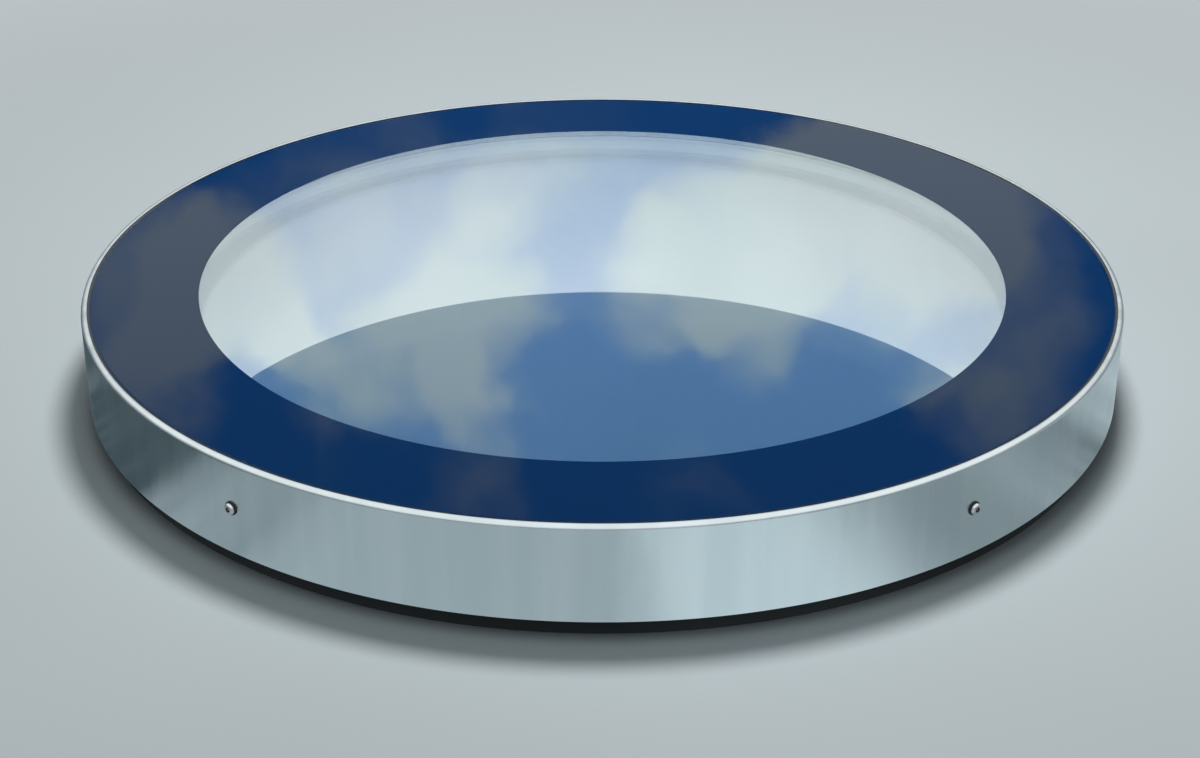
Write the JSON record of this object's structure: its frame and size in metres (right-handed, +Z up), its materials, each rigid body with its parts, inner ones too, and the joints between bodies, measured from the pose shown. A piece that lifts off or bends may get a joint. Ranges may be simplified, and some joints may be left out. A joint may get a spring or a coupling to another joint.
{
  "type": "roof skylight",
  "caption": "Round flat fixed roof skylight: dark-bordered sealed glass unit, flush in a polished sheet skirt with side screws, on a white upstand.",
  "frame": {"origin": "middle of the upstand's foot, on the plane that stands on the roof deck", "axes": "+Z up through the glass, front towards -Y between the pair of screws that shows"},
  "size_m": [0.9998, 1.0042, 0.238],
  "materials": {
    "polished_sheet": "satin polished stainless sheet",
    "clear_glass": "clear, polished",
    "printed_border": "fired dark print",
    "black_sealant": "satin silicone and butyl",
    "spacer_grey": "matt grey",
    "drying_beads": "matt beads",
    "mill_aluminium": "mill finish",
    "foam_tape": "matt foam tape",
    "black_rubber": "matt extruded rubber",
    "grey_foam": "matt closed-cell foam",
    "white_gelcoat": "white gelcoat",
    "screw_steel": "bright stainless",
    "black_nylon": "matt nylon",
    "insert_brass": "turned brass"
  },
  "bodies": {
    "root": {"skirt_ring": "polished_sheet", "outer_pane": "clear_glass", "ceramic_border": "printed_border", "upper_butyl_seal": "black_sealant", "spacer_bar": "spacer_grey", "drying_beads": "drying_beads", "lower_butyl_seal": "black_sealant", "edge_seal": "black_sealant", "inner_pane": "clear_glass", "carrier_ring": "mill_aluminium", "skirt_liner": "grey_foam", "bonding_tape": "foam_tape", "glazing_tape": "foam_tape", "structural_seal": "black_sealant", "setting_blocks": "black_rubber", "weather_seal": "black_sealant", "backer_rod": "grey_foam", "gap_foam": "grey_foam", "kerb_gasket": "black_rubber", "upstand": "white_gelcoat", "skirt_screws": "screw_steel", "screw_washers": "black_rubber", "packing_bushes": "black_nylon", "screw_inserts": "insert_brass", "foot_inserts": "insert_brass"}
  },
  "joints": []
}
